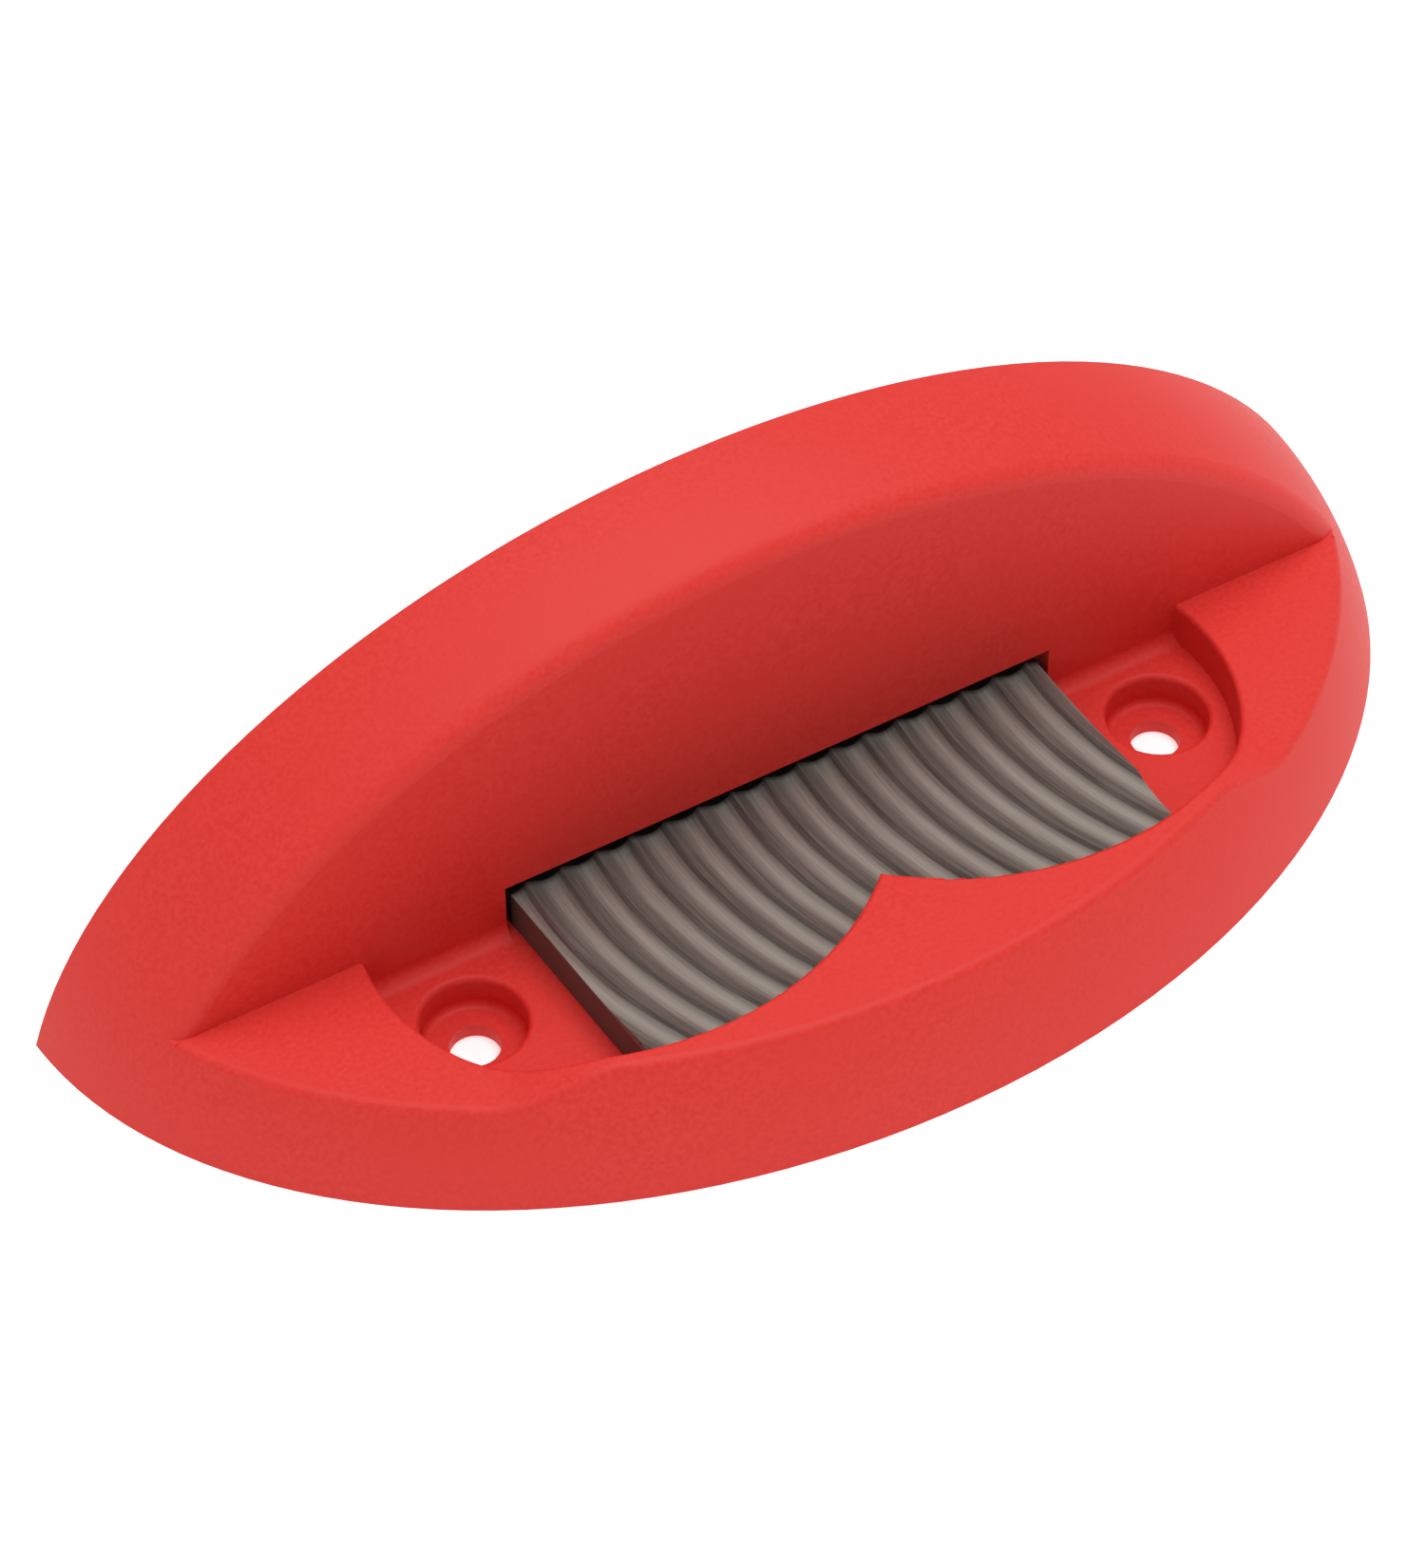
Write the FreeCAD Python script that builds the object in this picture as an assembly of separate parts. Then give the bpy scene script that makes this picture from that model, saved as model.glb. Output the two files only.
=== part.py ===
"""Scraper sharpener: a moulded body, a curved-tooth file plate and the wedge that locks it.

Frame, in millimetres: X runs along the fence, the front is -Y, Z is up.
The origin is the middle of the bounding box, on the underside.
"""
import FreeCAD, Part
import math
import os

# Points nearer than this count as touching.
touching = 1e-3

# File plate, a length cut from a curved-tooth file, its left end a little askew.
# Its teeth are arcs across its width.
# A tooth's back slopes down to the right into a rounded gullet, from which the next tooth rises.
file_length = 48.0
file_end_skew_degrees = 3.0
tooth_pitch = 3.03
tooth_depth = 0.7
tooth_back_run = 1.1
tooth_back_drop = 0.5
gullet_bottom_after_tip = 1.87
tooth_face_run = 0.3
tooth_face_rise = 0.42
tooth_arc_radius = 38.0
tooth_arc_forward_of_fence = 3.6
first_tooth_from_end = 1.11
tips_above_ledge = 0.3
file_corner_radius = 1.5
file_under_lip = 0.4
file_inset_from_back = 0.4

# Clearances round the file in its tunnel.
file_side_gap = 0.75
file_top_gap = 0.85
file_front_gap = 0.3
file_seat_gap = 0.05

# Screw holes, one beside each end of the file.
screw_hole_diameter = 4.0
counterbore_diameter = 8.3
screw_beside_file = 3.05
screw_forward_of_fence = 6.4
screw_land = 1.2
counterbore_edge_radius = 0.5
counterbore_corner_radius = 0.6
boss_wall = 2.0

# Recess sunk into the ledge: two mirrored lobes, which leave a point in the lip between them.
# A lobe's outline is a wide arc in front of the file, which runs into a tighter one round a screw.
recess_depth = 3.85
recess_beyond_screw = 1.62
lobe_front_radius = 26.2
lobe_end_radius = 17.1
lobe_end_centre_before_fence = 3.3
lobe_turn_degrees = 72.8
recess_edge_radius = 0.4
fence_foot_radius = 1.2

# Lip in front of the file, with a sloping run down to the ledge at each end.
lip_rise = 2.6
lip_beyond_file = 3.4
lip_ramp_run = 6.8
lip_ramp_radius = 8.0

# Notch in the body: its upright face is the fence, its level one the ledge.
# The fence leans back above the ledge by the moulding's draft.
fence_thickness = 11.7
fence_draft_degrees = 2.0
fence_edge_radius = 1.8
rim_radius = 0.9

# Outside of the body: one ellipsoid, cut flat at the back and underneath.
body_height = 34.07
front_land = 8.3
end_land = 22.51
dome_centre_behind_back = 1.88
dome_centre_below_base = 9.24

# Moulded walls and ribs of the hollow body, which is open underneath.
wall = 2.8
floor_thickness = 2.4
underside_hollow = 1.75
rib_thickness = 2.0
file_rib_spacing = 16.0
fence_rib_spacing = 68.0

# Wedge, driven in from behind between the file and the window in the back wall.
wedge_width = 40.0
wedge_length = 7.0
wedge_back_height = 3.0
wedge_taper_degrees = 6.0
wedge_side_gap = 0.3
wedge_top_gap = 0.1
wedge_seat_gap = 0.05
pry_slot_width = 12.0
pry_slot_height = 1.2
pry_slot_depth = 1.6

# Heights that follow from the sizes above.
recess_floor = underside_hollow + floor_thickness
ledge_height = recess_floor + recess_depth
lip_top = ledge_height + lip_rise
file_bottom = recess_floor + file_seat_gap
file_top = ledge_height + tips_above_ledge
tunnel_top = file_top + file_top_gap
wedge_bottom = file_top + wedge_seat_gap

# Lengths along the fence.
counterbore_radius = counterbore_diameter / 2
screw_x = file_length / 2 + screw_beside_file + counterbore_radius
recess_half_length = screw_x + counterbore_radius + recess_beyond_screw
lobe_end_x = recess_half_length - math.sqrt(lobe_end_radius ** 2 - lobe_end_centre_before_fence ** 2)
lobe_turn = math.radians(lobe_turn_degrees)
lobe_front_x = lobe_end_x - (lobe_front_radius - lobe_end_radius) * math.cos(lobe_turn)
lip_half_length = file_length / 2 + lip_beyond_file
body_half_length = recess_half_length + end_land
tunnel_half_length = file_length / 2 + file_side_gap

# Depths, from front to back.
lobe_front_centre_behind_fence = ((lobe_front_radius - lobe_end_radius) * math.sin(lobe_turn)
                                  - lobe_end_centre_before_fence)
file_reach_front = lobe_front_radius - lobe_front_centre_behind_fence + file_under_lip
body_depth = fence_thickness + file_reach_front + front_land
back_y = body_depth / 2
fence_y = back_y - fence_thickness
screw_y = fence_y - screw_forward_of_fence
lobe_end_y = fence_y - lobe_end_centre_before_fence
lobe_front_y = fence_y + lobe_front_centre_behind_fence
lobe_point_y = lobe_front_y - math.sqrt(lobe_front_radius ** 2 - lobe_front_x ** 2)
file_front = fence_y - file_reach_front
file_back = back_y - file_inset_from_back
file_width = file_back - file_front
tunnel_front = file_front - file_front_gap

# Semi-axes of the ellipsoid that reaches the length, depth and height above.
reach_deep = (body_depth + dome_centre_behind_back) ** 2
reach_high = (body_height + dome_centre_below_base) ** 2
reach_both = reach_deep * reach_high - (dome_centre_behind_back * dome_centre_below_base) ** 2
dome_semi_depth = math.sqrt(reach_both / (reach_high - dome_centre_below_base ** 2))
dome_semi_height = math.sqrt(reach_both / (reach_deep - dome_centre_behind_back ** 2))
dome_semi_length = body_half_length / math.sqrt(
    1 - (dome_centre_behind_back / dome_semi_depth) ** 2 - (dome_centre_below_base / dome_semi_height) ** 2)
dome_centre = FreeCAD.Vector(0, back_y + dome_centre_behind_back, -dome_centre_below_base)

# How far the fence leans back for each millimetre of height.
fence_lean = math.tan(math.radians(fence_draft_degrees))

# A length well outside the body, for cutting tools that pass right through it.
beyond = 2 * max(body_half_length, body_depth, body_height)


def block(x0, x1, y0, y1, z0, z1):
    return Part.makeBox(x1 - x0, y1 - y0, z1 - z0, FreeCAD.Vector(x0, y0, z0))


def upright(radius, x, y, z0, z1):
    return Part.makeCylinder(radius, z1 - z0, FreeCAD.Vector(x, y, z0))


def extruded(points, direction):
    return Part.Face(Part.makePolygon(points + points[:1])).extrude(direction)


def edges_where(shape, test):
    """The edges whose points all pass the test."""
    found = []
    for edge in shape.Edges:
        first, last = edge.ParameterRange
        points = [edge.valueAt(first + (last - first) * part) for part in (0.1, 0.3, 0.5, 0.7, 0.9)]
        if all(test(point) for point in points):
            found.append(edge)
    return found


def dome(inset=0.0):
    """The body's ellipsoid, or one drawn in by a wall's thickness."""
    scale = FreeCAD.Matrix()
    scale.scale(dome_semi_length - inset, dome_semi_depth - inset, dome_semi_height - inset)
    ball = Part.makeSphere(1.0).transformGeometry(scale)
    ball.translate(dome_centre)
    return ball


def on_dome(point):
    offset = point - dome_centre
    level = (offset.x / dome_semi_length) ** 2 + (offset.y / dome_semi_depth) ** 2
    return abs(level + (offset.z / dome_semi_height) ** 2 - 1) < touching


def above_base():
    """What is taken away above the ledge and the lip, with the corners of the lip's ramps rounded."""
    ramp_foot = lip_half_length + lip_ramp_run
    outline = [(-beyond, ledge_height), (-ramp_foot, ledge_height), (-lip_half_length, lip_top),
               (lip_half_length, lip_top), (ramp_foot, ledge_height), (beyond, ledge_height),
               (beyond, beyond), (-beyond, beyond)]
    points = [FreeCAD.Vector(x, beyond, z) for x, z in outline]
    tool = extruded(points, FreeCAD.Vector(0, -2 * beyond, 0))

    def at_ramp_corner(point):
        return any(abs(point.x - x) < touching and abs(point.z - z) < touching for x, z in outline[1:5])

    return tool.makeFillet(lip_ramp_radius, edges_where(tool, at_ramp_corner))


def behind_fence(depth=0.0):
    """What lies behind the leaning face of the fence, or that far into the fence."""
    front = fence_y + depth
    outline = [(front - ledge_height * fence_lean, 0), (front + (beyond - ledge_height) * fence_lean, beyond),
               (beyond, beyond), (beyond, 0)]
    points = [FreeCAD.Vector(-beyond, y, z) for y, z in outline]
    return extruded(points, FreeCAD.Vector(2 * beyond, 0, 0))


def base():
    """The low part of the ellipsoid in front of the fence, its rim rounded."""
    low = dome().common(block(-beyond, beyond, -beyond, back_y, 0, beyond)).cut(above_base())

    def rim_edge(point):
        above_ledge = point.z > ledge_height - touching
        return on_dome(point) and above_ledge and point.y < back_y - touching

    low = low.makeFillet(rim_radius, edges_where(low, rim_edge))
    return low.common(block(-beyond, beyond, -beyond, fence_y, 0, beyond))


def fence():
    """The tall slice of the ellipsoid at the back, the front edge of its arch rounded."""
    whole = dome().common(block(-beyond, beyond, -beyond, back_y, 0, beyond))
    segment = whole.common(behind_fence())

    def front_edge(point):
        leaning_y = fence_y + (point.z - ledge_height) * fence_lean
        return on_dome(point) and abs(point.y - leaning_y) < touching

    arch = segment.makeFillet(fence_edge_radius, edges_where(segment, front_edge))
    arch = arch.common(block(-beyond, beyond, fence_y, back_y, ledge_height, beyond))
    foot = whole.common(block(-beyond, beyond, fence_y, back_y, 0, ledge_height))
    return arch.fuse(foot)


def recess():
    """The two-lobed pocket in the ledge, flat against the fence."""

    def on_arc(side, x, y, radius, angle):
        along = x + radius * math.cos(angle)
        return FreeCAD.Vector(side * along, y + radius * math.sin(angle), recess_floor)

    def lobe(side):
        point = FreeCAD.Vector(0, lobe_point_y, recess_floor)
        to_point = math.atan2(lobe_point_y - lobe_front_y, -lobe_front_x)
        half_way = (to_point - lobe_turn) / 2
        turn = on_arc(side, lobe_end_x, lobe_end_y, lobe_end_radius, -lobe_turn)
        end = FreeCAD.Vector(side * recess_half_length, fence_y, recess_floor)
        middle = FreeCAD.Vector(0, fence_y, recess_floor)
        by_front = on_arc(side, lobe_front_x, lobe_front_y, lobe_front_radius, half_way)
        by_screw = on_arc(side, lobe_end_x, lobe_end_y, lobe_end_radius, 0)
        sides = [Part.Arc(point, by_front, turn).toShape(), Part.Arc(turn, by_screw, end).toShape(),
                 Part.makeLine(end, middle), Part.makeLine(middle, point)]
        return Part.Face(Part.Wire(sides)).extrude(FreeCAD.Vector(0, 0, beyond))

    return lobe(-1).fuse(lobe(1)).removeSplitter()


def fence_foot():
    """The rounded corner between the floor of the recess and the fence, let into both."""
    radius = fence_foot_radius
    end = recess_half_length + radius

    def at(y, z):
        return FreeCAD.Vector(-end, fence_y + y, recess_floor + z)

    half_way = radius * (1 - math.sqrt(0.5))
    round_side = Part.Arc(at(-radius, 0), at(-half_way, half_way), at(0, radius)).toShape()
    let_in = Part.makePolygon([at(0, radius), at(radius, radius), at(radius, -radius),
                               at(-radius, -radius), at(-radius, 0)])
    return Part.Face(Part.Wire([round_side] + let_in.Edges)).extrude(FreeCAD.Vector(2 * end, 0, 0))


def tunnel():
    """Where the file lies: from under the lip, under the fence and out through the back wall."""
    space = block(-tunnel_half_length, tunnel_half_length, tunnel_front, back_y, recess_floor, tunnel_top)

    def front_corner(point):
        at_side = abs(abs(point.x) - tunnel_half_length) < touching
        return at_side and abs(point.y - tunnel_front) < touching

    return space.makeFillet(file_corner_radius, edges_where(space, front_corner))


def wedge_section(gap=0.0):
    """The wedge's outline seen from the side, tapering towards the front."""
    slope = math.tan(math.radians(wedge_taper_degrees))
    front = back_y - wedge_length
    back_top = wedge_bottom + wedge_back_height + gap
    return [(front, wedge_bottom - gap), (back_y, wedge_bottom - gap),
            (back_y, back_top), (front, back_top - wedge_length * slope)]


def wedge_block(width, gap=0.0):
    points = [FreeCAD.Vector(-width / 2, y, z) for y, z in wedge_section(gap)]
    return extruded(points, FreeCAD.Vector(width, 0, 0))


def hollow():
    """The space inside the moulded walls, less the ribs and the screw bosses."""
    inner_back = back_y - wall
    inside = dome(wall)
    below_floor = block(-beyond, beyond, -beyond, inner_back, 0, underside_hollow)
    in_fence = behind_fence(wall).common(block(-beyond, beyond, -beyond, inner_back, 0, beyond))
    space = below_floor.fuse(in_fence)
    end_start = lobe_end_x + lobe_end_radius + wall
    for x0, x1 in ((-beyond, -end_start), (end_start, beyond)):
        space = space.fuse(block(x0, x1, -beyond, inner_back, 0, ledge_height - wall))
    space = space.common(inside)
    half_rib = rib_thickness / 2
    for x in (-file_rib_spacing, 0, file_rib_spacing):
        space = space.cut(block(x - half_rib, x + half_rib, -beyond, back_y, 0, recess_floor))
    for x in (-fence_rib_spacing / 2, fence_rib_spacing / 2):
        space = space.cut(block(x - half_rib, x + half_rib, fence_y, back_y, 0, beyond))
    for side in (-1, 1):
        space = space.cut(upright(counterbore_radius + boss_wall, side * screw_x, screw_y, 0, recess_floor))
    return space


def counterbore(side):
    """The space for a screw's head, rounded round the foot of its wall."""
    space = upright(counterbore_radius, side * screw_x, screw_y, screw_land, recess_floor)

    def foot(point):
        return abs(point.z - screw_land) < touching

    return space.makeFillet(counterbore_corner_radius, edges_where(space, foot)[:1])


def body():
    solid = base().fuse(fence()).removeSplitter().cut(recess()).fuse(fence_foot()).removeSplitter()

    def recess_edge(point):
        above_ledge = point.z > ledge_height - touching
        from_front = math.hypot(abs(point.x) - lobe_front_x, point.y - lobe_front_y) - lobe_front_radius
        from_end = math.hypot(abs(point.x) - lobe_end_x, point.y - lobe_end_y) - lobe_end_radius
        return above_ledge and min(abs(from_front), abs(from_end)) < touching

    def counterbore_edge(point):
        away = math.hypot(abs(point.x) - screw_x, point.y - screw_y)
        return abs(away - counterbore_radius) < touching and abs(point.z - recess_floor) < touching

    solid = solid.makeFillet(recess_edge_radius, edges_where(solid, recess_edge))
    for side in (-1, 1):
        solid = solid.cut(counterbore(side))
    solid = solid.makeFillet(counterbore_edge_radius, edges_where(solid, counterbore_edge))
    solid = solid.cut(hollow()).cut(tunnel())
    solid = solid.cut(wedge_block(wedge_width + 2 * wedge_side_gap, wedge_top_gap))
    for side in (-1, 1):
        solid = solid.cut(upright(screw_hole_diameter / 2, side * screw_x, screw_y, 0, screw_land))
    return solid


def tooth_gap(tip_x):
    """The gap after one tooth: its outline turned about an upright axis, across the file's width."""
    axis = FreeCAD.Vector(tip_x + tooth_arc_radius, fence_y - tooth_arc_forward_of_fence, 0)
    next_tip_x = tip_x + tooth_pitch

    def at(x, height):
        return FreeCAD.Vector(x, axis.y, file_top + height)

    back_foot = at(tip_x + tooth_back_run, -tooth_back_drop)
    gullet_bottom = at(tip_x + gullet_bottom_after_tip, -tooth_depth)
    face_foot = at(next_tip_x - tooth_face_run, -tooth_face_rise)
    gullet = Part.Arc(back_foot, gullet_bottom, face_foot).toShape()
    rest = Part.makePolygon([face_foot, at(next_tip_x, 0), at(next_tip_x, tooth_depth),
                             at(tip_x, tooth_depth), at(tip_x, 0), back_foot])
    face = Part.Face(Part.Wire([gullet] + rest.Edges))
    reach = max(axis.y - file_front, file_back - axis.y)
    half_sweep = math.degrees(math.asin((reach + tooth_pitch) / tooth_arc_radius))
    face.rotate(axis, FreeCAD.Vector(0, 0, 1), -half_sweep)
    return face.revolve(axis, FreeCAD.Vector(0, 0, 1), 2 * half_sweep)


def file_plate():
    half = file_length / 2
    skew = math.tan(math.radians(file_end_skew_degrees))
    corners = [(half, file_front), (half, file_back), (-half - (file_back - fence_y) * skew, file_back),
               (-half + (fence_y - file_front) * skew, file_front)]
    points = [FreeCAD.Vector(x, y, file_bottom) for x, y in corners]
    plate = extruded(points, FreeCAD.Vector(0, 0, file_top - file_bottom))

    def corner(point):
        return any(math.hypot(point.x - x, point.y - y) < touching for x, y in corners)

    plate = plate.makeFillet(file_corner_radius, edges_where(plate, corner))
    reach = file_reach_front - tooth_arc_forward_of_fence
    bend = tooth_arc_radius - math.sqrt(tooth_arc_radius ** 2 - reach ** 2)
    before = math.ceil((bend + first_tooth_from_end) / tooth_pitch)
    count = math.ceil((file_length - first_tooth_from_end) / tooth_pitch)
    first_tip = -half + first_tooth_from_end
    return plate.cut([tooth_gap(first_tip + index * tooth_pitch) for index in range(-before, count)])


def file_wedge():
    """The wedge, with a slot in its back end to prise it out by."""
    solid = wedge_block(wedge_width)
    middle = wedge_bottom + wedge_back_height / 2
    slot = block(-pry_slot_width / 2, pry_slot_width / 2, back_y - pry_slot_depth, back_y,
                 middle - pry_slot_height / 2, middle + pry_slot_height / 2)
    return solid.cut(slot)


os.makedirs("parts", exist_ok=True)
for name, make in (("body", body), ("file_plate", file_plate), ("file_wedge", file_wedge)):
    shape = make()
    shape.exportStep("parts/" + name + ".step")
    print(name, shape.isValid(), len(shape.Solids), round(shape.Volume, 1))
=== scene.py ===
import math

import bmesh
import bpy
from mathutils import Matrix, Vector

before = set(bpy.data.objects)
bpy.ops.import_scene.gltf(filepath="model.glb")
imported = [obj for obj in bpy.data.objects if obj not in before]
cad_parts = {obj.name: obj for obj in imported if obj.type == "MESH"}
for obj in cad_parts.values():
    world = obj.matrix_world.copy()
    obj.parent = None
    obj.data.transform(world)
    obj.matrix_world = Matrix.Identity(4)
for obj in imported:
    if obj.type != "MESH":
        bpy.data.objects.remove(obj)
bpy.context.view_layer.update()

# Body: one hollow moulding with the fence, the ledge, the lip and the screw bosses in a piece.
# It is red ABS, injection moulded in a spark-eroded tool, and carries the file in a tunnel.
MM = 0.001


def linear(hex_colour):
    """An sRGB hex colour as the linear RGBA that a shader takes."""
    parts = [int(hex_colour[i:i + 2], 16) / 255 for i in (1, 3, 5)]
    return [p / 12.92 if p <= 0.04045 else ((p + 0.055) / 1.055) ** 2.4 for p in parts] + [1.0]


def add(tree, kind, settings=None, values=None, links=None):
    """One node of a material, with its settings, its socket values and what is linked to it."""
    made = tree.nodes.new(kind)
    for name, value in (settings or {}).items():
        setattr(made, name, value)
    for socket, value in (values or {}).items():
        made.inputs[socket].default_value = value
    for socket, source in (links or {}).items():
        tree.links.new(source, made.inputs[socket])
    return made


def new_material(name):
    """An empty material, with its node tree, its shader and its Object coordinates."""
    material = bpy.data.materials.new(name)
    material.use_nodes = True
    tree = material.node_tree
    tree.nodes.clear()
    shader = add(tree, "ShaderNodeBsdfPrincipled")
    add(tree, "ShaderNodeOutputMaterial", links={"Surface": shader.outputs["BSDF"]})
    place = add(tree, "ShaderNodeTexCoord").outputs["Object"]
    return material, tree, shader, place


# Spark-eroded ABS is matte, with a fine even grain that only shows as a faint speckle.
# The grain of such a finish is about 0.1 mm; it is drawn at 0.42 mm, because finer wouldn't show.
# The mottle is the slow change of tone that the melt leaves as it fills the mould.
abs_red = "#D8332C"
abs_red_pale = "#DE3C34"
abs_red_deep = "#D12B25"
abs_sheen_sharpest = 0.45
abs_sheen_dullest = 0.6
abs_sheen_strength = 0.22
abs_refraction = 1.53
spark_grain = 0.42 * MM
spark_depth = 0.03 * MM
spark_relief = 0.7
flow_mottle = 9.0 * MM
body_abs, tree, shader, place = new_material("spark_textured_red_abs")
grain = add(tree, "ShaderNodeTexNoise",
            values={"Scale": 1 / spark_grain, "Detail": 3.0, "Roughness": 0.6},
            links={"Vector": place})
mottle = add(tree, "ShaderNodeTexNoise",
             values={"Scale": 1 / flow_mottle, "Detail": 2.0},
             links={"Vector": place})
speckle = add(tree, "ShaderNodeMapRange",
              values={"From Min": 0.35, "From Max": 0.65},
              links={"Value": grain.outputs["Fac"]})
red = add(tree, "ShaderNodeMix", {"data_type": "RGBA"},
          {"A": linear(abs_red_deep), "B": linear(abs_red_pale)},
          {"Factor": speckle.outputs["Result"]})
red_mottled = add(tree, "ShaderNodeMix", {"data_type": "RGBA"},
                  {"B": linear(abs_red)},
                  {"Factor": mottle.outputs["Fac"], "A": red.outputs["Result"]})
matte = add(tree, "ShaderNodeMapRange",
            values={"From Min": 0.3, "From Max": 0.7,
                    "To Min": abs_sheen_sharpest, "To Max": abs_sheen_dullest},
            links={"Value": grain.outputs["Fac"]})
pits = add(tree, "ShaderNodeBump",
           values={"Strength": spark_relief, "Distance": spark_depth},
           links={"Height": grain.outputs["Fac"]})
tree.links.new(red_mottled.outputs["Result"], shader.inputs["Base Color"])
tree.links.new(matte.outputs["Result"], shader.inputs["Roughness"])
tree.links.new(pits.outputs["Normal"], shader.inputs["Normal"])
shader.inputs["IOR"].default_value = abs_refraction
shader.inputs["Specular IOR Level"].default_value = abs_sheen_strength
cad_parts["body"].data.materials.clear()
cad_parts["body"].data.materials.append(body_abs)

# File plate: a length sawn from a curved-tooth body file, of grey hardened carbon steel.
# Its teeth are milled as arcs, so fine cutter marks run along every tooth and gullet.
# It lies in the body's tunnel, under the lip in front and the fence behind.
tooth_arc_radius = 38.0 * MM
tooth_arc_middle = 5.3 * MM
gullet_bottom = 7.6 * MM
gullet_highlight_fade = 0.32 * MM
dark_side_top = 7.5 * MM
fence_face = 8.9 * MM
painted_shade_behind_fence = 0.5 * MM

# Milled steel is a soft grey with thin streaks; the gullet floors are painted paler, a painted
# highlight where they face up to the light.
# The sides below the teeth are darkened towards near-black, and where the fence covers the teeth
# they are painted near-black as painted shade, the dark of the tunnel under the fence.
steel_pale = "#9D988E"
steel_dark = "#625C57"
side_and_shade_black = "#241F1D"
side_darkness = 0.55
darkening_fade = 0.1 * MM
gullet_highlight_paleness = 0.62
paleness_of_tooth = 0.12
streak_darkest = -0.2
streak_palest = 0.35
steel_sheen_sharpest = 0.55
steel_sheen_dullest = 0.7
steel_share_of_metal = 0.6
cutter_mark = 0.16 * MM
cutter_mark_length = 5.0 * MM
cutter_mark_depth = 0.02 * MM
cutter_mark_relief = 0.4
file_steel, tree, shader, place = new_material("milled_carbon_steel")
axes = add(tree, "ShaderNodeSeparateXYZ", links={"Vector": place})

# The marks follow the arc of the teeth: x less the arc's rise, which is the square of the
# distance from its middle over twice its radius.
along = add(tree, "ShaderNodeMath", {"operation": "SUBTRACT"},
            {1: tooth_arc_middle}, {0: axes.outputs["Y"]})
square = add(tree, "ShaderNodeMath", {"operation": "POWER"},
             {1: 2.0}, {0: along.outputs["Value"]})
bend = add(tree, "ShaderNodeMath", {"operation": "DIVIDE"},
           {1: 2 * tooth_arc_radius}, {0: square.outputs["Value"]})
across = add(tree, "ShaderNodeMath", {"operation": "SUBTRACT"},
             links={0: axes.outputs["X"], 1: bend.outputs["Value"]})
followed = add(tree, "ShaderNodeCombineXYZ",
               links={"X": across.outputs["Value"], "Y": along.outputs["Value"],
                      "Z": axes.outputs["Z"]})
stretched = add(tree, "ShaderNodeMapping",
                values={"Scale": (1 / cutter_mark, 1 / cutter_mark_length, 1 / cutter_mark)},
                links={"Vector": followed.outputs["Vector"]})
marks = add(tree, "ShaderNodeTexNoise", values={"Scale": 1.0, "Detail": 3.0},
            links={"Vector": stretched.outputs["Vector"]})
# Painted highlight: the steel is paler at the bottom of each gullet and fades back to the tooth tone
# towards the tips.
painted_gullet_highlight = add(tree, "ShaderNodeMapRange",
             values={"From Min": gullet_bottom, "From Max": gullet_bottom + gullet_highlight_fade,
                     "To Min": gullet_highlight_paleness, "To Max": paleness_of_tooth},
             links={"Value": axes.outputs["Z"]})
streaks = add(tree, "ShaderNodeMapRange",
              values={"From Min": 0.25, "From Max": 0.75,
                      "To Min": streak_darkest, "To Max": streak_palest},
              links={"Value": marks.outputs["Fac"]})
tone = add(tree, "ShaderNodeMath", {"operation": "ADD", "use_clamp": True},
           links={0: painted_gullet_highlight.outputs["Result"], 1: streaks.outputs["Result"]})
grey = add(tree, "ShaderNodeMix", {"data_type": "RGBA"},
           {"A": linear(steel_dark), "B": linear(steel_pale)},
           {"Factor": tone.outputs["Value"]})
sides = add(tree, "ShaderNodeMapRange",
            values={"From Min": dark_side_top - darkening_fade / 2, "From Max": dark_side_top + darkening_fade / 2,
                    "To Min": side_darkness, "To Max": 0.0},
            links={"Value": axes.outputs["Z"]})
# Painted shade: the teeth just behind the fence face are painted near-black, the dark of the tunnel
# under the fence.
painted_fence_shade = add(tree, "ShaderNodeMapRange",
              values={"From Min": fence_face + painted_shade_behind_fence - darkening_fade,
                      "From Max": fence_face + painted_shade_behind_fence + darkening_fade},
              links={"Value": axes.outputs["Y"]})
sides_and_painted_shade = add(tree, "ShaderNodeMath", {"operation": "MAXIMUM"},
            links={0: sides.outputs["Result"], 1: painted_fence_shade.outputs["Result"]})
darkened_steel = add(tree, "ShaderNodeMix", {"data_type": "RGBA"},
             {"B": linear(side_and_shade_black)},
             {"Factor": sides_and_painted_shade.outputs["Value"], "A": grey.outputs["Result"]})
worn = add(tree, "ShaderNodeMapRange",
           values={"From Min": 0.3, "From Max": 0.7,
                   "To Min": steel_sheen_sharpest, "To Max": steel_sheen_dullest},
           links={"Value": marks.outputs["Fac"]})
scores = add(tree, "ShaderNodeBump",
             values={"Strength": cutter_mark_relief, "Distance": cutter_mark_depth},
             links={"Height": marks.outputs["Fac"]})
tree.links.new(darkened_steel.outputs["Result"], shader.inputs["Base Color"])
tree.links.new(worn.outputs["Result"], shader.inputs["Roughness"])
tree.links.new(scores.outputs["Normal"], shader.inputs["Normal"])
shader.inputs["Metallic"].default_value = steel_share_of_metal
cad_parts["file_plate"].data.materials.clear()
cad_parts["file_plate"].data.materials.append(file_steel)

# Wedge: a tapered key driven in over the file from behind, with a slot to prise it out by.
# It is black glass-filled nylon, moulded, and holds by the friction of its taper.

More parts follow.
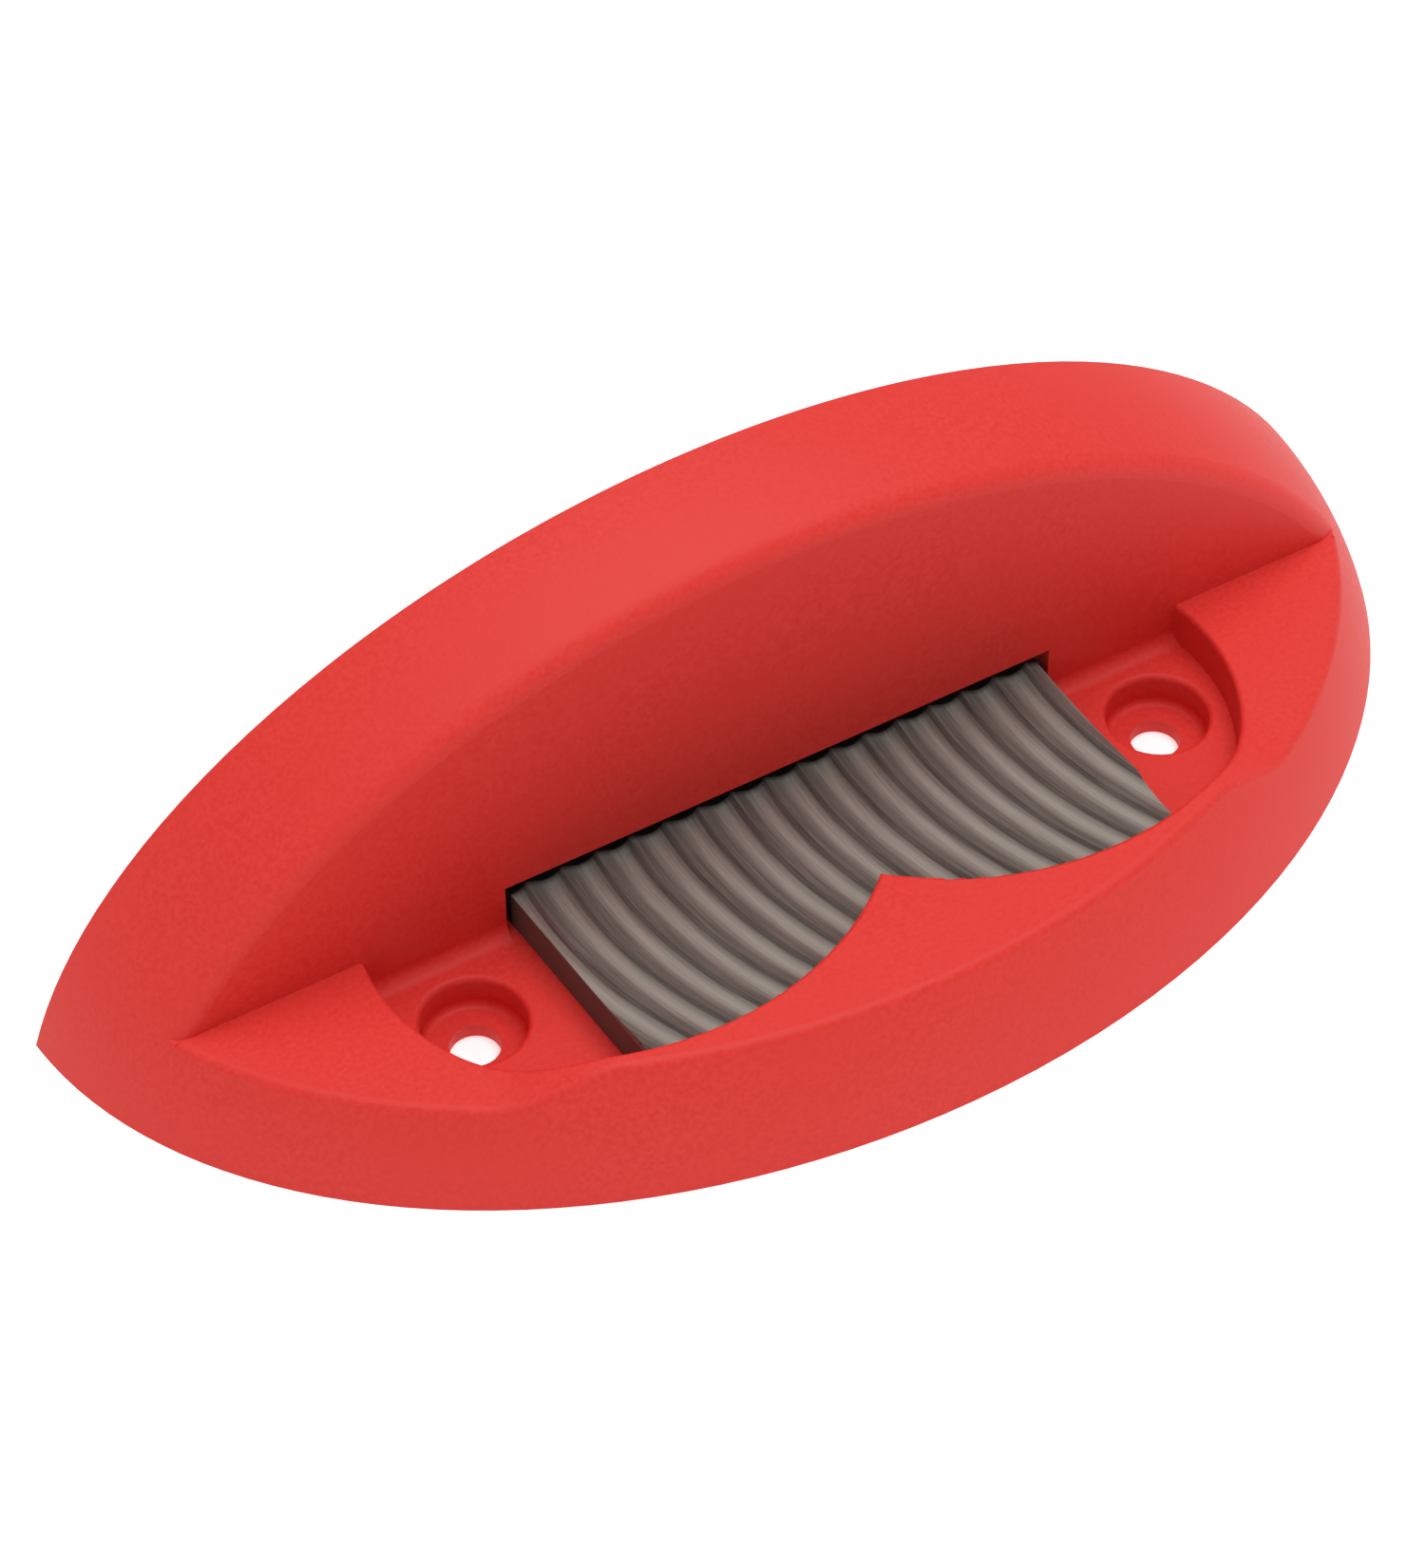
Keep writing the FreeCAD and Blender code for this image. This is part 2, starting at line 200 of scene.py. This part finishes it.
# Glass-filled nylon is a dull near-black, with a faint grain where the fibres lie at the skin.
nylon_black = "#1B1B1D"
nylon_grey = "#29292B"
nylon_sheen_sharpest = 0.45
nylon_sheen_dullest = 0.62
nylon_refraction = 1.53
nylon_grain = 0.3 * MM
nylon_grain_depth = 0.02 * MM
nylon_grain_relief = 0.3
wedge_nylon, tree, shader, place = new_material("moulded_black_nylon")
grain = add(tree, "ShaderNodeTexNoise",
            values={"Scale": 1 / nylon_grain, "Detail": 3.0},
            links={"Vector": place})
black = add(tree, "ShaderNodeMix", {"data_type": "RGBA"},
            {"A": linear(nylon_black), "B": linear(nylon_grey)},
            {"Factor": grain.outputs["Fac"]})
dull = add(tree, "ShaderNodeMapRange",
           values={"From Min": 0.3, "From Max": 0.7,
                   "To Min": nylon_sheen_sharpest, "To Max": nylon_sheen_dullest},
           links={"Value": grain.outputs["Fac"]})
skin = add(tree, "ShaderNodeBump",
           values={"Strength": nylon_grain_relief, "Distance": nylon_grain_depth},
           links={"Height": grain.outputs["Fac"]})
tree.links.new(black.outputs["Result"], shader.inputs["Base Color"])
tree.links.new(dull.outputs["Result"], shader.inputs["Roughness"])
tree.links.new(skin.outputs["Normal"], shader.inputs["Normal"])
shader.inputs["IOR"].default_value = nylon_refraction
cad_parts["file_wedge"].data.materials.clear()
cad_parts["file_wedge"].data.materials.append(wedge_nylon)

# Floor: a plain pale sheet just under the tool. It isn't part of the object.
# It is opal white acrylic, lit faintly from below as on a light table, so that soft light comes
# up onto the rounded front of the body and no hard shadow lies at its foot.
floor_width = 6.0
floor_clear = 0.02 * MM
floor_cloud = 2.0 * MM
floor_glow = 0.32
floor_acrylic, tree, shader, place = new_material("opal_sheet")
cloud = add(tree, "ShaderNodeTexNoise", values={"Scale": 1 / floor_cloud}, links={"Vector": place})
white = add(tree, "ShaderNodeMix", {"data_type": "RGBA"},
            {"A": linear("#FAFAFA"), "B": linear("#FCFCFC")},
            {"Factor": cloud.outputs["Fac"]})
tree.links.new(white.outputs["Result"], shader.inputs["Base Color"])
shader.inputs["Roughness"].default_value = 0.9
shader.inputs["Specular IOR Level"].default_value = 0.1
shader.inputs["Emission Strength"].default_value = floor_glow
sheet = bmesh.new()
bmesh.ops.create_grid(sheet, x_segments=1, y_segments=1, size=floor_width / 2)
floor_mesh = bpy.data.meshes.new("floor")
sheet.to_mesh(floor_mesh)
sheet.free()
floor_mesh.materials.append(floor_acrylic)
floor = bpy.data.objects.new("floor", floor_mesh)
floor.location.z = -floor_clear
bpy.context.scene.collection.objects.link(floor)

# Light: a wide soft panel overhead, a little behind and to the right, and a pale room all round.
panel_place = Vector((0.12, 0.06, 0.9))
panel_width = 0.7
panel_watts = 5.7
room_strength = 0.57
panel = bpy.data.lights.new("overhead_panel", "AREA")
panel.shape = "SQUARE"
panel.size = panel_width
panel.energy = panel_watts
panel_lamp = bpy.data.objects.new("overhead_panel", panel)
panel_lamp.location = panel_place
panel_lamp.rotation_euler = (-panel_place).to_track_quat("-Z", "Y").to_euler()
bpy.context.scene.collection.objects.link(panel_lamp)
room = bpy.data.worlds.new("pale_room")
room.use_nodes = True
room.node_tree.nodes["Background"].inputs["Color"].default_value = linear("#FFFFFF")
room.node_tree.nodes["Background"].inputs["Strength"].default_value = room_strength
bpy.context.scene.world = room
bpy.context.scene.view_settings.view_transform = "Standard"

# Camera: a long lens at the left of the front, looking down at 47 degrees.
eye = Vector((-133.42, -204.15, 278.77)) * MM
azimuth = math.radians(30.797)
elevation = math.radians(47.214)
sensor = 36.0
focal_pixels = 4992.34
image_height = 1650
forward = Vector((math.sin(azimuth) * math.cos(elevation),
                  math.cos(azimuth) * math.cos(elevation),
                  -math.sin(elevation)))
right = forward.cross(Vector((0, 0, 1))).normalized()
up = right.cross(forward)
lens = bpy.data.cameras.new("camera")
lens.sensor_width = sensor
lens.lens = sensor * focal_pixels / image_height
lens.clip_start = 0.01
camera = bpy.data.objects.new("camera", lens)
turn = Matrix((right, up, -forward)).transposed().to_4x4()
camera.matrix_world = Matrix.Translation(eye) @ turn
bpy.context.scene.collection.objects.link(camera)
bpy.context.scene.camera = camera
